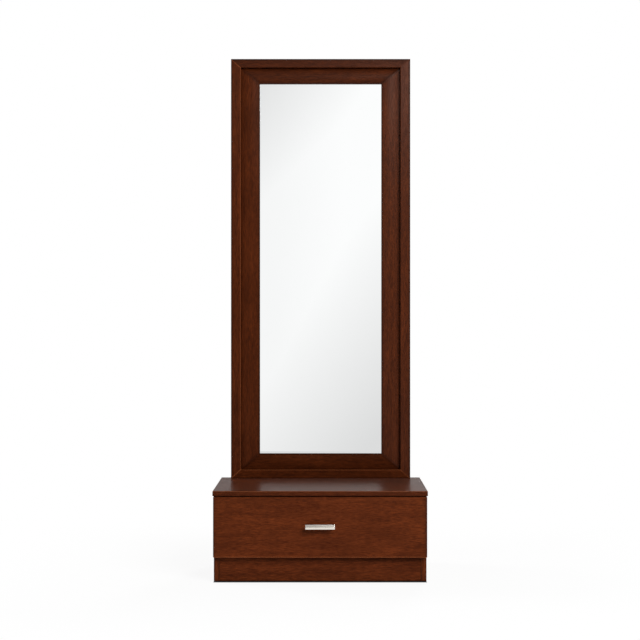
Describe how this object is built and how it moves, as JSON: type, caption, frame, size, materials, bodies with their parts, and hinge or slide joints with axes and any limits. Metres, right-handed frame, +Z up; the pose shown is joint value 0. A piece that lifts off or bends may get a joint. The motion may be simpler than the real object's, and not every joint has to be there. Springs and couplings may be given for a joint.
{
  "type": "floor mirror with drawer",
  "caption": "Tall framed mirror standing on a low cabinet with a sliding drawer: dark reddish wood, mitred stepped frame, bar handle, ball-bearing drawer slides.",
  "frame": {"origin": "on the floor, in the middle of the outer box, the handle's projection and the rear battens included", "axes": "+Z up, +X to the right seen from the front, the drawer and mirror face -Y"},
  "size_m": [0.65, 0.441, 1.644],
  "materials": {
    "stained_wood": "satin lacquer on reddish brown veneer",
    "inner_wood": "plain sanded wood",
    "hardboard": "smooth hardboard",
    "dowel_wood": "fluted beech",
    "mirror": "silvered float glass",
    "satin_nickel": "satin nickel plate",
    "zinc_steel": "bright zinc plate",
    "screw_steel": "zinc-plated screws",
    "ball_steel": "polished",
    "glide_plastic": "moulded nylon",
    "bumper_rubber": "soft clear pad"
  },
  "bodies": {
    "cabinet": {"cabinet_top": "stained_wood", "left_side_panel": "stained_wood", "right_side_panel": "stained_wood", "plinth_board": "stained_wood", "front_rail": "stained_wood", "border_left_stile": "stained_wood", "border_right_stile": "stained_wood", "border_top_rail": "stained_wood", "border_bottom_rail": "stained_wood", "inner_left_stile": "stained_wood", "inner_right_stile": "stained_wood", "inner_top_rail": "stained_wood", "inner_bottom_rail": "stained_wood", "bottom_panel": "inner_wood", "rear_plinth_board": "inner_wood", "rear_rail": "inner_wood", "left_batten": "inner_wood", "right_batten": "inner_wood", "cabinet_back_panel": "hardboard", "backing_board": "hardboard", "carcass_dowels": "dowel_wood", "frame_dowels": "dowel_wood", "mirror_glass": "mirror", "left_slide_outer": "zinc_steel", "right_slide_outer": "zinc_steel", "corner_plates": "zinc_steel", "backing_clips": "zinc_steel", "cam_locks": "zinc_steel", "cam_bolts": "screw_steel", "cabinet_top_screws": "screw_steel", "back_panel_screws": "screw_steel", "plate_and_clip_screws": "screw_steel", "batten_screws": "screw_steel", "cabinet_slide_screws": "screw_steel", "floor_glides": "glide_plastic", "bumper_pads": "bumper_rubber"},
    "drawer": {"drawer_front": "stained_wood", "drawer_box_front": "inner_wood", "drawer_box_back": "inner_wood", "drawer_left_side": "inner_wood", "drawer_right_side": "inner_wood", "drawer_bottom": "hardboard", "drawer_box_screws": "screw_steel", "drawer_front_screws": "screw_steel", "handle": "satin_nickel", "handle_screws": "screw_steel", "left_slide_inner": "zinc_steel", "right_slide_inner": "zinc_steel", "drawer_slide_screws": "screw_steel"},
    "left_middle": {"left_slide_middle": "zinc_steel"},
    "left_outer_rolling": {"left_outer_cage": "zinc_steel", "left_outer_balls": "ball_steel"},
    "left_inner_rolling": {"left_inner_cage": "zinc_steel", "left_inner_balls": "ball_steel"},
    "right_middle": {"right_slide_middle": "zinc_steel"},
    "right_outer_rolling": {"right_outer_cage": "zinc_steel", "right_outer_balls": "ball_steel"},
    "right_inner_rolling": {"right_inner_cage": "zinc_steel", "right_inner_balls": "ball_steel"}
  },
  "joints": [
    {"name": "drawer_slide", "type": "slide", "parent": "cabinet", "child": "drawer", "axis": [0, -1, 0], "range_m": [0, 0.3]},
    {"name": "left_middle_slide", "type": "slide", "parent": "cabinet", "child": "left_middle", "axis": [0, -1, 0], "range_m": [0, 0.15]},
    {"name": "left_outer_rolling_slide", "type": "slide", "parent": "cabinet", "child": "left_outer_rolling", "axis": [0, -1, 0], "range_m": [0, 0.075]},
    {"name": "left_inner_rolling_slide", "type": "slide", "parent": "cabinet", "child": "left_inner_rolling", "axis": [0, -1, 0], "range_m": [0, 0.225]},
    {"name": "right_middle_slide", "type": "slide", "parent": "cabinet", "child": "right_middle", "axis": [0, -1, 0], "range_m": [0, 0.15]},
    {"name": "right_outer_rolling_slide", "type": "slide", "parent": "cabinet", "child": "right_outer_rolling", "axis": [0, -1, 0], "range_m": [0, 0.075]},
    {"name": "right_inner_rolling_slide", "type": "slide", "parent": "cabinet", "child": "right_inner_rolling", "axis": [0, -1, 0], "range_m": [0, 0.225]}
  ],
  "couplings": [
    {"joint": "left_middle_slide", "follows": "drawer_slide", "ratio": 0.5},
    {"joint": "left_outer_rolling_slide", "follows": "drawer_slide", "ratio": 0.25},
    {"joint": "left_inner_rolling_slide", "follows": "drawer_slide", "ratio": 0.75},
    {"joint": "right_middle_slide", "follows": "drawer_slide", "ratio": 0.5},
    {"joint": "right_outer_rolling_slide", "follows": "drawer_slide", "ratio": 0.25},
    {"joint": "right_inner_rolling_slide", "follows": "drawer_slide", "ratio": 0.75}
  ]
}
